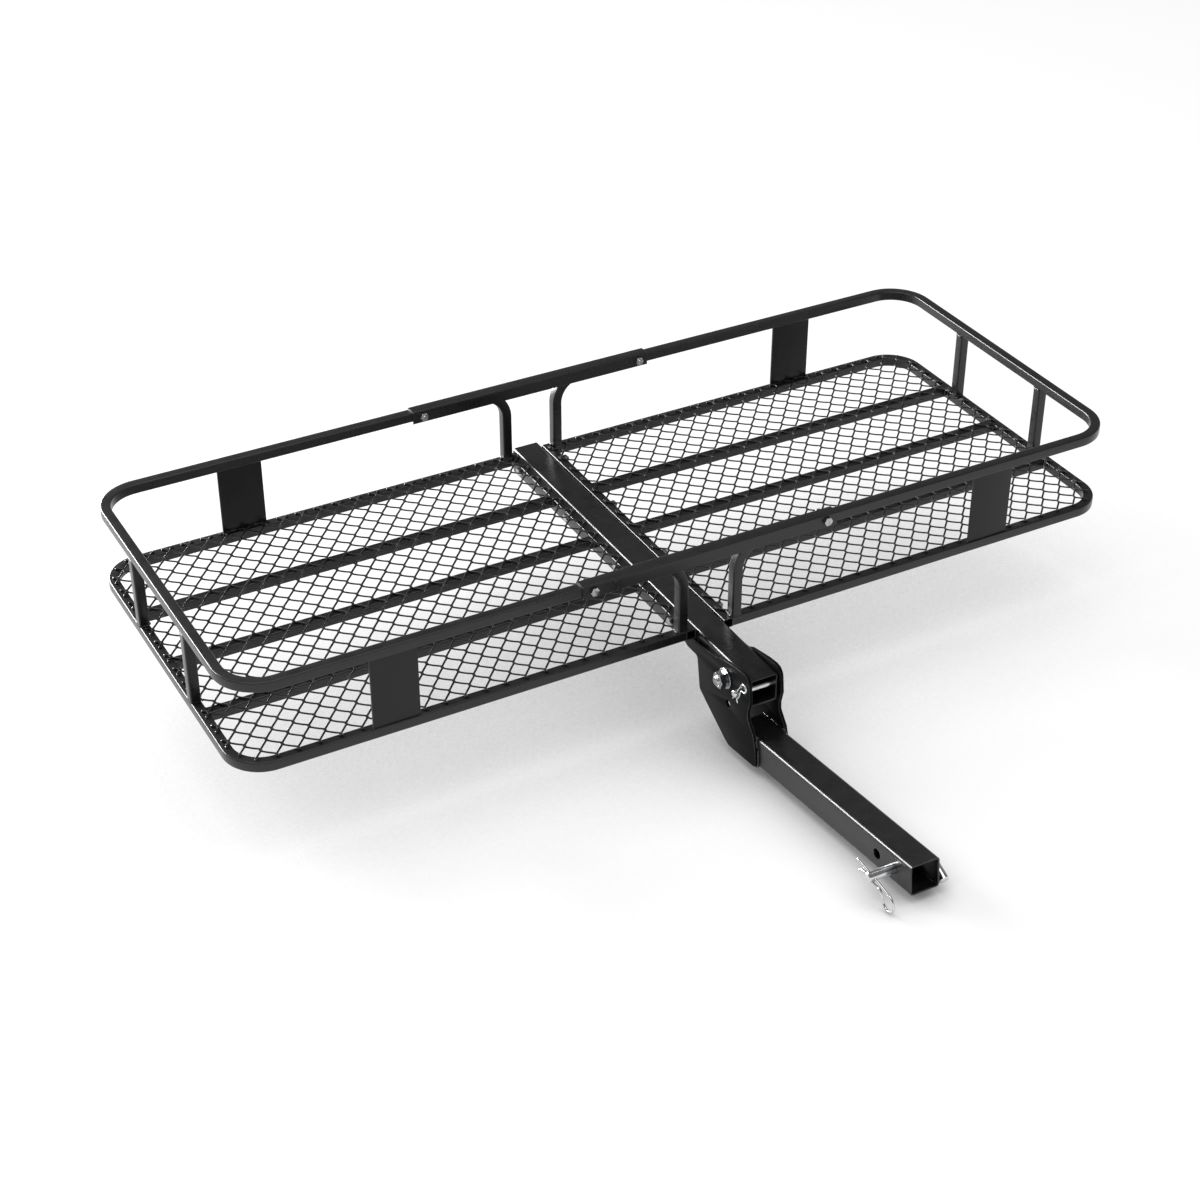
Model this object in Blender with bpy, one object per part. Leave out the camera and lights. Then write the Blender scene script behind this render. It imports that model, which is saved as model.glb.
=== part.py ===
"""Folding hitch cargo carrier: two welded basket halves bolted to a square beam
that tips up between two plates on the end of a receiver shank.

Metres, Z up. The origin is the centre of the hitch pin hole, X runs along the
basket and Y points away from the vehicle. Everything on the tipping side hangs
from one empty at the fold pivot, which also carries the basket's slight lift.
"""
import math

import bmesh
import bpy
from mathutils import Matrix, Vector

GAP = 0.0003              # air left between pieces that touch

# Receiver shank
SHANK = 0.050
SHANK_WALL = 0.003
SHANK_START = -0.041
SHANK_END = 0.425
PIN_HOLE = 0.0170
SPARE_HOLE_Y = 0.042

# Fold pivot and lock
PIVOT = Vector((0.0, 0.4425, 0.0975))
LIFT = math.radians(6.44)
FOLD = math.radians(83.5)
PIVOT_BOLT = 0.016
LOCK_REACH = 0.045
LOCK_ANGLE = math.radians(183.0)   # from +Y about the pivot, carrier down
LOCK_PIN = 0.012
PLATE = 0.0055

# Centre beam, measured from the pivot
BEAM = 0.050
BEAM_WALL = 0.003
BEAM_FRONT = -0.0602
BEAM_BACK = 0.7393
BEAM_TOP = 0.0288

# Basket, measured from the pivot
TUBE = 0.017
TUBE_WALL = 0.0016
HALF_LENGTH = 0.790
FRONT = 0.1008
BACK = 0.7258
FLOOR_LOW = 0.0116
RAIL_TOP = 0.1686
RAIL_BEND = 0.0740
FLOOR_BEND = 0.0640
POST_AT = 0.049
POST_BEND = 0.056
END_POST_STEP = 0.114
CROSS_STEP = 0.148
SIDE_PLATE_IN = 0.498
SIDE_PLATE_OUT = 0.575
SIDE_PLATE_THICK = 0.004
MESH_THICK = 0.0026
MESH_OPEN = (0.092, 0.108)
MESH_PITCH = 0.104
MESH_ROWS = 10

# Rail sleeves and fasteners
SLEEVE_HALF = 0.227
SLEEVE_WALL = 0.002
SLEEVE_DROP = 0.023
RAIL_BOLT_AT = 0.2085
SMALL_BOLT = 0.008
CROSS_BOLT_STEP = 0.175

# Hitch pin and clips
HITCH_PIN = 0.016
HITCH_PIN_LEFT = -0.070
HITCH_CLIP_X = -0.061
HITCH_WIRE = 0.0040
LOCK_CLIP_X = -0.0400
LOCK_WIRE = 0.0026

FLOOR_TOP = FLOOR_LOW + TUBE
MIDDLE = (FRONT + BACK) / 2
RAIL_MID = RAIL_TOP - TUBE / 2
PLATE_IN = SHANK / 2 + GAP
PLATE_OUT = PLATE_IN + PLATE
BAR_IN = BEAM / 2 + GAP
BAR_MID = BAR_IN + TUBE / 2
X, Y, Z = Vector((1, 0, 0)), Vector((0, 1, 0)), Vector((0, 0, 1))


# ---------------------------------------------------------------- scene helpers

def clear_scene():
    for item in list(bpy.data.objects):
        bpy.data.objects.remove(item, do_unlink=True)


def collection(name):
    made = bpy.data.collections.new(name)
    bpy.context.scene.collection.children.link(made)
    return made


def material(name, colour, metallic, roughness):
    made = bpy.data.materials.new(name)
    made.use_nodes = True
    shader = made.node_tree.nodes["Principled BSDF"]
    shader.inputs["Base Color"].default_value = (*colour, 1.0)
    shader.inputs["Metallic"].default_value = metallic
    shader.inputs["Roughness"].default_value = roughness
    return made


def finish_mesh(name, bm):
    bmesh.ops.remove_doubles(bm, verts=bm.verts, dist=0.00001)
    bmesh.ops.recalc_face_normals(bm, faces=bm.faces)
    mesh = bpy.data.meshes.new(name)
    bm.to_mesh(mesh)
    bm.free()
    return mesh


def place(name, mesh, slot, parent=None):
    item = bpy.data.objects.new(name, mesh)
    item.data.materials.clear()
    item.data.materials.append(SLOTS[slot])
    item.parent = parent
    CARRIER.objects.link(item)
    return item


# --------------------------------------------------------------- mesh primitives

def square_ring(half_u, half_v, corner, steps=2):
    """Points round a rectangle with rounded corners."""
    points = []
    for quarter, (su, sv) in enumerate(((1, 1), (-1, 1), (-1, -1), (1, -1))):
        for step in range(steps + 1):
            turn = math.pi / 2 * (quarter + step / steps)
            points.append((su * (half_u - corner) + corner * math.cos(turn),
                           sv * (half_v - corner) + corner * math.sin(turn)))
    return points


def round_ring(radius, count=16):
    return [(radius * math.cos(2 * math.pi * (k + 0.5) / count),
             radius * math.sin(2 * math.pi * (k + 0.5) / count)) for k in range(count)]


def hex_ring(flats, count=18):
    """Points round a hexagon, so that it can be joined to a ring of equal count."""
    points = []
    for k in range(count):
        turn = 2 * math.pi * (k + 0.5) / count
        away = (turn + math.pi / 6) % (math.pi / 3) - math.pi / 6
        reach = flats / 2 / math.cos(away)
        points.append((reach * math.cos(turn), reach * math.sin(turn)))
    return points


def bridge(bm, first, second):
    count = len(first)
    for k in range(count):
        j = (k + 1) % count
        bm.faces.new((first[k], first[j], second[j], second[k]))


def sweep(name, stations, ring, across):
    """Carry a ring along (place, direction) stations and cap both ends."""
    bm = bmesh.new()
    rings = []
    before = None
    for where, ahead in stations:
        if before is not None:
            across = before.rotation_difference(ahead) @ across
        up = ahead.cross(across).normalized()
        rings.append([bm.verts.new(where + across * u + up * v) for u, v in ring])
        before = ahead
    for first, second in zip(rings, rings[1:]):
        bridge(bm, first, second)
    bm.faces.new(rings[0])
    bm.faces.new(rings[-1])
    return finish_mesh(name, bm)


def rounded_path(corners, bends, steps=6):
    """Stations along a line of corners, each turned on its own bend radius."""
    stations = [(corners[0], (corners[1] - corners[0]).normalized())]
    for k in range(1, len(corners) - 1):
        into = (corners[k] - corners[k - 1]).normalized()
        out = (corners[k + 1] - corners[k]).normalized()
        turn = into.angle(out)
        bend = bends[k - 1]
        side = (out - into * out.dot(into)).normalized()
        start = corners[k] - into * bend * math.tan(turn / 2)
        for step in range(steps + 1):
            part = turn * step / steps
            where = start + into * bend * math.sin(part) + side * bend * (1 - math.cos(part))
            stations.append((where, into * math.cos(part) + side * math.sin(part)))
    stations.append((corners[-1], (corners[-1] - corners[-2]).normalized()))
    return stations


def stack(name, origin, axis, across, layers, hollow=False):
    """Join rings of equal count along an axis; a hollow stack closes on itself."""
    bm = bmesh.new()
    up = axis.cross(across)
    rings = [[bm.verts.new(origin + axis * along + across * u + up * v) for u, v in ring]
             for along, ring in layers]
    for first, second in zip(rings, rings[1:]):
        bridge(bm, first, second)
    if hollow:
        bridge(bm, rings[-1], rings[0])
    else:
        bm.faces.new(rings[0])
        bm.faces.new(rings[-1])
    return finish_mesh(name, bm)


def hollow_tube(name, start, end, across, half_u, half_v, corner, wall):
    """Straight rectangular tube, open at both ends."""
    length = (end - start).length
    outer = square_ring(half_u, half_v, corner)
    inner = square_ring(half_u - wall, half_v - wall, max(corner - wall, 0.0006))
    layers = [(0, inner), (0, outer), (length, outer), (length, inner)]
    return stack(name, start, (end - start).normalized(), across, layers, hollow=True)


def solid_bar(name, start, end, across, size):
    ring = square_ring(size / 2, size / 2, 0.002)
    direction = (end - start).normalized()
    return stack(name, start, direction, across, [(0, ring), ((end - start).length, ring)])


def flat_shape(name, outline, openings, thickness, matrix):
    """Plate cut to an outline in XY with openings, then put in place."""
    curve = bpy.data.curves.new(name, "CURVE")
    curve.dimensions = "2D"
    curve.fill_mode = "BOTH"
    curve.extrude = thickness / 2
    for loop in [outline] + openings:
        spline = curve.splines.new("POLY")
        spline.points.add(len(loop) - 1)
        for point, (u, v) in zip(spline.points, loop):
            point.co = (u, v, 0, 1)
        spline.use_cyclic_u = True
    holder = bpy.data.objects.new(name, curve)
    bpy.context.scene.collection.objects.link(holder)
    bpy.context.view_layer.update()
    raw = bpy.data.meshes.new_from_object(holder)
    bm = bmesh.new()
    bm.from_mesh(raw)
    bpy.data.objects.remove(holder, do_unlink=True)
    bpy.data.meshes.remove(raw)
    bmesh.ops.transform(bm, matrix=matrix, verts=bm.verts)
    return finish_mesh(name, bm)


def drill(item, holes, parent=None, count=18):
    """Cut round holes given as (centre, axis, radius, half length)."""
    bm = bmesh.new()
    for centre, axis, radius, half in holes:
        turn = axis.to_track_quat("Z", "Y").to_matrix().to_4x4()
        bmesh.ops.create_cone(bm, cap_ends=True, segments=count, radius1=radius,
                              radius2=radius, depth=2 * half,
                              matrix=Matrix.Translation(centre) @ turn)
    mesh = bpy.data.meshes.new(item.name + "_holes")
    bm.to_mesh(mesh)
    bm.free()
    cutter = bpy.data.objects.new(item.name + "_holes", mesh)
    cutter.parent = parent
    cutter.hide_render = True
    cutter.display_type = "WIRE"
    CUTTERS.objects.link(cutter)
    cut = item.modifiers.new("holes", "BOOLEAN")
    cut.operation = "DIFFERENCE"
    cut.solver = "EXACT"
    cut.object = cutter
    return item


# -------------------------------------------------------------------- fasteners

def bolt(name, seat, axis, length, size, flats, head, parent, slot="zinc"):
    """Hex bolt: the head sits at the seat and the shank runs along the axis."""
    across = Z if abs(axis.z) < 0.5 else X
    shaft, tip = round_ring(size / 2, 18), round_ring(size / 2 - 0.0008, 18)
    layers = [(-head, round_ring(flats * 0.46, 18)), (-head + 0.0012, hex_ring(flats)),
              (0, hex_ring(flats)), (0, shaft), (length - 0.001, shaft), (length, tip)]
    return place(name, stack(name, seat, axis, across, layers), slot, parent)


def nut(name, seat, axis, size, flats, height, parent, slot="zinc"):
    """Hex nut standing on the seat."""
    across = Z if abs(axis.z) < 0.5 else X
    bore = round_ring(size / 2 + GAP, 18)
    layers = [(0, bore), (0, hex_ring(flats)), (height - 0.0012, hex_ring(flats)),
              (height, round_ring(flats * 0.46, 18)), (height, bore)]
    mesh = stack(name, seat, axis, across, layers, hollow=True)
    return place(name, mesh, slot, parent)


def washer(name, seat, axis, bore, outer, thickness, parent, slot="zinc"):
    inner, rim = round_ring(bore / 2, 18), round_ring(outer / 2, 18)
    layers = [(0, inner), (0, rim), (thickness, rim), (thickness, inner)]
    mesh = stack(name, seat, axis, Z, layers, hollow=True)
    return place(name, mesh, slot, parent)


def spring_clip(name, pin, hub, along, x, wire, tail, loop, tip, parent):
    """Hairpin clip: one straight leg through the pin, one sprung round it."""
    over = pin / 2 + wire / 2 + 0.0010
    away = along.cross(X)
    end = tail + loop
    pieces = [(tip, 0), (-end, 0), (-end, 2 * loop), (-tail, 2 * loop),
              (-pin * 0.55, over * 0.9), (tip * 0.4, over), (tip * 0.85, over * 1.3)]
    corners = [hub + X * (x - hub.x) + along * u + away * v for u, v in pieces]
    bends = [loop * 0.95, loop * 0.85, loop * 0.6, pin * 0.4, pin * 0.4]
    mesh = sweep(name, rounded_path(corners, bends, 4), round_ring(wire / 2, 10), X)
    return place(name, mesh, "zinc", parent)


# ------------------------------------------------------------------- shank side

def build_shank():
    mesh = hollow_tube("shank", Y * SHANK_START, Y * SHANK_END, X,
                       SHANK / 2, SHANK / 2, 0.004, SHANK_WALL)
    item = place("shank", mesh, "powder_black")
    drill(item, [(Vector((0, 0, 0)), X, PIN_HOLE / 2, 0.04),
                 (Vector((0, SPARE_HOLE_Y, 0)), X, PIN_HOLE / 2, 0.04)])


def plate_outline():
    """Side view of a hinge plate as (y, z), from the tail round by the top."""
    return [(0.566, 0.1197), (0.5360, 0.1197), (0.4730, 0.1200), (0.4590, 0.1255),
            (0.4140, 0.1300), (0.3900, 0.1300), (0.3800, 0.1270), (0.3740, 0.1180),
            (0.3735, 0.0860), (0.3810, 0.0660), (0.3820, 0.0530), (0.3670, 0.0300),
            (0.3620, 0.0070), (0.3620, -0.0245), (0.4420, -0.0245), (0.4530, -0.0185),
            (0.5100, 0.0240), (0.5270, 0.0380), (0.5305, 0.0950), (0.566, 0.0990)]


def lock_slot():
    """Arc the lock pin sweeps about the pivot, as a closed loop of (y, z)."""
    half = LOCK_PIN / 2 + 0.0006
    start = LOCK_ANGLE - 0.02
    points = []
    for radius, ends in ((LOCK_REACH + half, (start, start + FOLD + 0.04)),
                         (LOCK_REACH - half, (start + FOLD + 0.04, start))):
        for step in range(13):
            turn = ends[0] + (ends[1] - ends[0]) * step / 12
            points.append((PIVOT.y + radius * math.cos(turn), PIVOT.z + radius * math.sin(turn)))
        middle = (PIVOT.y + LOCK_REACH * math.cos(ends[1]), PIVOT.z + LOCK_REACH * math.sin(ends[1]))
        last = points[-1]
        for step in range(1, 5):
            turn = math.pi * step / 5
            dy, dz = last[0] - middle[0], last[1] - middle[1]
            points.append((middle[0] + dy * math.cos(turn) - dz * math.sin(turn),
                           middle[1] + dy * math.sin(turn) + dz * math.cos(turn)))
    return points


def build_hinge_plates():
    bore = [(PIVOT.y + u, PIVOT.z + v) for u, v in round_ring(PIVOT_BOLT / 2 + GAP, 18)]
    for name, side in (("hinge_plate_left", -1), ("hinge_plate_right", 1)):
        turn = Matrix(((0, 0, 1, side * (PLATE_IN + PLATE / 2)), (1, 0, 0, 0), (0, 1, 0, 0),
                       (0, 0, 0, 1)))
        mesh = flat_shape(name, plate_outline(), [bore, lock_slot()], PLATE, turn)
        place(name, mesh, "powder_black")


def build_pivot_bolt():
    seat = PLATE_OUT + GAP
    thick = 0.0025
    washer("pivot_washer_left", PIVOT - X * seat, -X, PIVOT_BOLT + 2 * GAP, 0.034, thick, None)
    washer("pivot_washer_right", PIVOT + X * seat, X, PIVOT_BOLT + 2 * GAP, 0.034, thick, None)
    head_seat = PIVOT + X * (seat + thick + GAP)
    bolt("pivot_bolt", head_seat, -X, 2 * (seat + thick) + 0.017, PIVOT_BOLT, 0.024, 0.010, None)
    nut("pivot_nut", PIVOT - X * (seat + thick + GAP), -X, PIVOT_BOLT, 0.024, 0.013, None)


def build_hitch_pin():
    """Bent pin through the shank, kept by a spring clip on the left."""
    handle = Vector((0, -0.87, -0.50)).normalized()
    bend = X * 0.036
    path = rounded_path([X * HITCH_PIN_LEFT, bend, bend + handle * 0.044], [0.012], 5)
    mesh = sweep("hitch_pin", path, round_ring(HITCH_PIN / 2, 16), Y)
    item = place("hitch_pin", mesh, "zinc")
    along = Vector((0, 0.975, 0.222)).normalized()
    drill(item, [(X * HITCH_CLIP_X, along, HITCH_WIRE / 2 + 0.0005, 0.02)], count=12)
    spring_clip("hitch_clip", HITCH_PIN, Vector((0, 0, 0)), along, HITCH_CLIP_X,
                HITCH_WIRE, 0.042, 0.0137, 0.038, None)


# ----------------------------------------------------------------- tipping side

def build_beam(frame):
    middle = BEAM_TOP - BEAM / 2
    mesh = hollow_tube("beam", Vector((0, BEAM_FRONT, middle)), Vector((0, BEAM_BACK, middle)),
                       X, BEAM / 2, BEAM / 2, 0.004, BEAM_WALL)
    item = place("beam", mesh, "powder_black", frame)
    holes = [(Vector((0, 0, 0)), X, PIVOT_BOLT / 2 + GAP, 0.04),
             (lock_place(), X, LOCK_PIN / 2 + 0.0005, 0.04)]
    holes += [(place_, X, SMALL_BOLT / 2 + GAP, 0.04) for place_ in cross_bolt_places()]
    drill(item, holes, frame)


def lock_place():
    """Lock pin axis in the tipping frame."""
    turn = LOCK_ANGLE - LIFT
    return Vector((0, LOCK_REACH * math.cos(turn), LOCK_REACH * math.sin(turn)))


def cross_bolt_places():
    height = FLOOR_LOW + TUBE / 2
    return [Vector((0, MIDDLE + CROSS_BOLT_STEP * (k - 1.5), height)) for k in range(4)]


def build_floor_frame(side, tag, frame):
    """Bottom rail round three sides, bar against the beam and three bars across."""
    half = TUBE / 2
    mid = FLOOR_LOW + half
    inner = side * (BAR_IN + TUBE + GAP)
    outer = side * (HALF_LENGTH - half)
    corners = [Vector((inner, FRONT + half, mid)), Vector((outer, FRONT + half, mid)),
               Vector((outer, BACK - half, mid)), Vector((inner, BACK - half, mid))]
    bend = FLOOR_BEND - half
    mesh = sweep("bottom_rail" + tag, rounded_path(corners, [bend, bend]),
                 square_ring(half, half, 0.002), Z)
    place("bottom_rail" + tag, mesh, "powder_black", frame)
    bar_x = side * BAR_MID
    mesh = hollow_tube("inner_bar" + tag, Vector((bar_x, FRONT, mid)), Vector((bar_x, BACK, mid)),
                       X, half, half, 0.002, TUBE_WALL)
    item = place("inner_bar" + tag, mesh, "powder_black", frame)
    drill(item, [(p + X * bar_x, X, SMALL_BOLT / 2 + GAP, 0.02) for p in cross_bolt_places()],
          frame)
    for number, step in enumerate((-CROSS_STEP, 0, CROSS_STEP), 1):
        name = "floor_bar_%d%s" % (number, tag)
        start = Vector((inner, MIDDLE + step, mid))
        end = Vector((side * (HALF_LENGTH - TUBE - GAP), MIDDLE + step, mid))
        place(name, solid_bar(name, start, end, Z, TUBE), "powder_black", frame)


def build_rail(side, tag, frame):
    """Top rail round three sides, its inner ends turned down to the floor frame."""
    half = TUBE / 2
    foot, top = FLOOR_TOP + GAP, RAIL_MID
    inner, outer = side * POST_AT, side * (HALF_LENGTH - half)
    front, back = FRONT + half, BACK - half
    corners = [Vector((inner, front, foot)), Vector((inner, front, top)),
               Vector((outer, front, top)), Vector((outer, back, top)),
               Vector((inner, back, top)), Vector((inner, back, foot))]
    turn_down, turn_round = POST_BEND - half, RAIL_BEND - half
    path = rounded_path(corners, [turn_down, turn_round, turn_round, turn_down])
    mesh = sweep("top_rail" + tag, path, square_ring(half, half, 0.002), Y)
    item = place("top_rail" + tag, mesh, "powder_black", frame)
    drill(item, [(Vector((side * RAIL_BOLT_AT, y, RAIL_MID)), Y, SMALL_BOLT / 2 + GAP, 0.02)
                 for y in (front, back)], frame)


def build_uprights(side, tag, frame):
    foot, head = FLOOR_TOP + GAP, RAIL_TOP - TUBE - GAP
    for word, step in (("front", -END_POST_STEP), ("back", END_POST_STEP)):
        name = "end_post_%s%s" % (word, tag)
        base = Vector((side * (HALF_LENGTH - TUBE / 2), MIDDLE + step, foot))
        top = Vector((base.x, base.y, head))
        place(name, solid_bar(name, base, top, X, TUBE), "powder_black", frame)
    for word, y in (("front", FRONT + 0.003), ("back", BACK - 0.003)):
        name = "side_plate_%s%s" % (word, tag)
        inward = 1 if word == "front" else -1
        middle = Vector((side * (SIDE_PLATE_IN + SIDE_PLATE_OUT) / 2,
                         y + inward * SIDE_PLATE_THICK / 2, foot))
        ring = square_ring((SIDE_PLATE_OUT - SIDE_PLATE_IN) / 2, SIDE_PLATE_THICK / 2, 0.0006, 1)
        mesh = stack(name, middle, Z, X, [(0, ring), (head - foot, ring)])
        place(name, mesh, "powder_black", frame)


def floor_outline(side):
    """Mesh edge over the frame, notched round the posts that stand on it."""
    lap, clear = 0.0085, 0.0006
    front, back = FRONT + lap, BACK - lap
    inner, outer = BAR_IN + 0.004, HALF_LENGTH - lap
    post_in, post_out = POST_AT - TUBE / 2 - clear, POST_AT + TUBE / 2 + clear
    step = TUBE + clear
    bend = FLOOR_BEND - lap
    loop = [(inner, front), (post_in, front), (post_in, FRONT + step),
            (post_out, FRONT + step), (post_out, front)]
    loop += corner_points((outer - bend, front + bend), bend, -math.pi / 2)
    for where in (MIDDLE - END_POST_STEP, MIDDLE + END_POST_STEP):
        low, high = where - TUBE / 2 - clear, where + TUBE / 2 + clear
        deep = HALF_LENGTH - step
        loop += [(outer, low), (deep, low), (deep, high), (outer, high)]
    loop += corner_points((outer - bend, back - bend), bend, 0)
    loop += [(post_out, back), (post_out, BACK - step), (post_in, BACK - step),
             (post_in, back), (inner, back)]
    return [(side * u, v) for u, v in loop]


def corner_points(centre, radius, start):
    return [(centre[0] + radius * math.cos(start + math.pi / 2 * k / 5),
             centre[1] + radius * math.sin(start + math.pi / 2 * k / 5)) for k in range(6)]


def clip_loop(loop, normal, limit):
    """Part of a closed loop on the near side of a straight line."""
    kept = []
    for (au, av), (bu, bv) in zip(loop, loop[1:] + loop[:1]):
        a = normal[0] * au + normal[1] * av - limit
        b = normal[0] * bu + normal[1] * bv - limit
        if a <= 0:
            kept.append((au, av))
        if a * b < 0:
            part = a / (a - b)
            kept.append((au + (bu - au) * part, av + (bv - av) * part))
    return kept


def loop_area(loop):
    return abs(sum(au * bv - bu * av
                   for (au, av), (bu, bv) in zip(loop, loop[1:] + loop[:1]))) / 2


def floor_openings(side):
    """Diamond openings in staggered rows, cut off where the frame begins."""
    pitch_x = MESH_PITCH
    half_x, half_y = MESH_OPEN[0] / 2, MESH_OPEN[1] / 2
    inner, outer = BAR_IN + TUBE + 0.001, HALF_LENGTH - TUBE - 0.001
    front, back = FRONT + TUBE + 0.001, BACK - TUBE - 0.001
    columns = round((outer - inner) / pitch_x)
    step = (outer - inner) / columns
    corner = outer + back - 0.026
    loops = []
    for row in range(MESH_ROWS + 1):
        v = front + (back - front) * row / MESH_ROWS
        for k in range(columns + 1):
            u = inner + step * (k + (row % 2) / 2)
            loop = [(u + half_x, v), (u, v + half_y), (u - half_x, v), (u, v - half_y)]
            for normal, limit in (((1, 0), outer), ((-1, 0), -inner), ((0, 1), back),
                                  ((0, -1), -front), ((1, 1), corner),
                                  ((1, -1), corner - back - front)):
                loop = clip_loop(loop, normal, limit)
            if len(loop) > 2 and loop_area(loop) > 0.0004:
                loops.append([(side * a, b) for a, b in loop])
    return loops


def build_floor_mesh(side, tag, frame):
    level = FLOOR_TOP + GAP + MESH_THICK / 2
    mesh = flat_shape("floor_mesh" + tag, floor_outline(side), floor_openings(side),
                      MESH_THICK, Matrix.Translation((0, 0, level)))
    place("floor_mesh" + tag, mesh, "mesh_black", frame)


def build_sleeves(frame):
    """Channels pushed down over the rail ends, two bolts through each."""
    inside = TUBE / 2 + GAP
    outside = inside + SLEEVE_WALL
    top = RAIL_TOP + GAP + SLEEVE_WALL
    low = top - SLEEVE_DROP
    shape = [(-outside, low), (-outside, top - 0.001), (-outside + 0.001, top),
             (outside - 0.001, top), (outside, top - 0.001), (outside, low),
             (inside, low), (inside, RAIL_TOP + GAP), (-inside, RAIL_TOP + GAP), (-inside, low)]
    for word, y, out in (("front", FRONT + TUBE / 2, -1), ("back", BACK - TUBE / 2, 1)):
        bm = bmesh.new()
        ends = [[bm.verts.new((x, y + u, v)) for u, v in shape]
                for x in (-SLEEVE_HALF, SLEEVE_HALF)]
        bridge(bm, ends[0], ends[1])
        bm.faces.new(ends[0])
        bm.faces.new(ends[1])
        name = "rail_sleeve_" + word
        item = place(name, finish_mesh(name, bm), "powder_black", frame)
        spots = [Vector((x, y, RAIL_MID)) for x in (-RAIL_BOLT_AT, RAIL_BOLT_AT)]
        drill(item, [(spot, Y, SMALL_BOLT / 2 + GAP, 0.02) for spot in spots], frame)
        for tag, spot in zip(("_left", "_right"), spots):
            seat = outside + GAP
            bolt("rail_bolt_%s%s" % (word, tag), spot + Y * out * seat, -Y * out,
                 2 * seat + 0.009, SMALL_BOLT, 0.013, 0.0055, frame)
            nut("rail_nut_%s%s" % (word, tag), spot - Y * out * seat, -Y * out,
                SMALL_BOLT, 0.013, 0.0068, frame)


def build_cross_bolts(frame):
    """Bolts that clamp both inner bars against the beam, heads on the left."""
    seat = BAR_IN + TUBE + GAP
    for number, spot in enumerate(cross_bolt_places(), 1):
        bolt("beam_bolt_%d" % number, spot - X * seat, X, 2 * seat + 0.010,
             SMALL_BOLT, 0.013, 0.0055, frame)
        nut("beam_nut_%d" % number, spot + X * seat, X, SMALL_BOLT, 0.013, 0.0068, frame)


def build_lock_pin(frame):
    """Headed pin that pins the beam to the plates, kept by a small spring clip."""
    hub = lock_place()
    shaft, head = round_ring(LOCK_PIN / 2, 18), round_ring(0.010, 18)
    rim = round_ring(0.0088, 18)
    seat = PLATE_OUT + 0.0055
    layers = [(0, round_ring(LOCK_PIN / 2 - 0.001, 18)), (0.001, shaft), (seat + 0.046, shaft),
              (seat + 0.046, head), (seat + 0.050, head), (seat + 0.051, rim)]
    mesh = stack("lock_pin", hub - X * 0.046, X, Y, layers)
    item = place("lock_pin", mesh, "zinc", frame)
    along = Vector((0, 0.506, -0.862)).normalized()
    drill(item, [(hub + X * LOCK_CLIP_X, along, LOCK_WIRE / 2 + 0.0005, 0.02)], frame, 12)
    spring_clip("lock_clip", LOCK_PIN, hub, along, LOCK_CLIP_X, LOCK_WIRE,
                0.0287, 0.0068, 0.0185, frame)


clear_scene()
CARRIER = collection("hitch_cargo_carrier")
CUTTERS = collection("cutters")
SLOTS = {
    "powder_black": material("powder_black", (0.018, 0.018, 0.019), 0.0, 0.38),
    "mesh_black": material("mesh_black", (0.015, 0.015, 0.016), 0.0, 0.42),
    "zinc": material("zinc", (0.70, 0.70, 0.72), 1.0, 0.28),
}
TIP = bpy.data.objects.new("basket_frame", None)
TIP.location = PIVOT
TIP.rotation_euler = (LIFT, 0, 0)
CARRIER.objects.link(TIP)

build_shank()
build_hinge_plates()
build_pivot_bolt()
build_hitch_pin()
build_beam(TIP)
for SIDE, TAG in ((-1, "_left"), (1, "_right")):
    build_floor_frame(SIDE, TAG, TIP)
    build_rail(SIDE, TAG, TIP)
    build_uprights(SIDE, TAG, TIP)
    build_floor_mesh(SIDE, TAG, TIP)
build_sleeves(TIP)
build_cross_bolts(TIP)
build_lock_pin(TIP)
bpy.context.view_layer.update()
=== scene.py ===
"""Looks for a folding hitch cargo carrier: every steel piece is rebuilt with
rounded tube corners, open tube mouths, threads, weld beads and a raised
expanded metal floor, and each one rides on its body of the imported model.

Metres, Z up. The origin is the hitch pin hole in the shank. Pieces of the
basket are drawn in the tipping frame: origin at the fold pivot, Y along the
beam, then carried into place by TIP.
"""
import math

import bmesh
import bpy
from mathutils import Matrix, Vector, noise


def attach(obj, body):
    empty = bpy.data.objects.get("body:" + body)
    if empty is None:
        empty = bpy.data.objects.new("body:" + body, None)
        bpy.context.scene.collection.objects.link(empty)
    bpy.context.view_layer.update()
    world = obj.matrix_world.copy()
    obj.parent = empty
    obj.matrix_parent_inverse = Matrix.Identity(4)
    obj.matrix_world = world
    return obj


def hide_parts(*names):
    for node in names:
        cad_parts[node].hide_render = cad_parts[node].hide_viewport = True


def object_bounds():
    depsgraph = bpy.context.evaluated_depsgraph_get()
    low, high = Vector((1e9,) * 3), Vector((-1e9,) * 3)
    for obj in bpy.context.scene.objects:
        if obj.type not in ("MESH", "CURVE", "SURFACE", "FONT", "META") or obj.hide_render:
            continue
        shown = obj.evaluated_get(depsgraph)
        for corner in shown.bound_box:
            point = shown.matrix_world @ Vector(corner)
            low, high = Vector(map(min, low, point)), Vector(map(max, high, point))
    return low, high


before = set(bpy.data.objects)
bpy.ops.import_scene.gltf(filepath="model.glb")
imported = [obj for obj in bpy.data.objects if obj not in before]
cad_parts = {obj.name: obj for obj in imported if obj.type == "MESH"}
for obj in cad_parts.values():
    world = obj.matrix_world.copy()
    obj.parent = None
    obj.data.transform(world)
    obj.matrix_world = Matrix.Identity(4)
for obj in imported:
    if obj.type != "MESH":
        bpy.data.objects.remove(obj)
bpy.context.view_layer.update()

GAP = 0.0003
BIG_CORNER = 0.0060
BIG_LIP = 0.0008

# Receiver shank
SHANK = 0.050
SHANK_WALL = 0.003
SHANK_START = -0.041
SHANK_END = 0.425
PIN_HOLE = 0.0170
SPARE_HOLE_Y = 0.042

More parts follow.
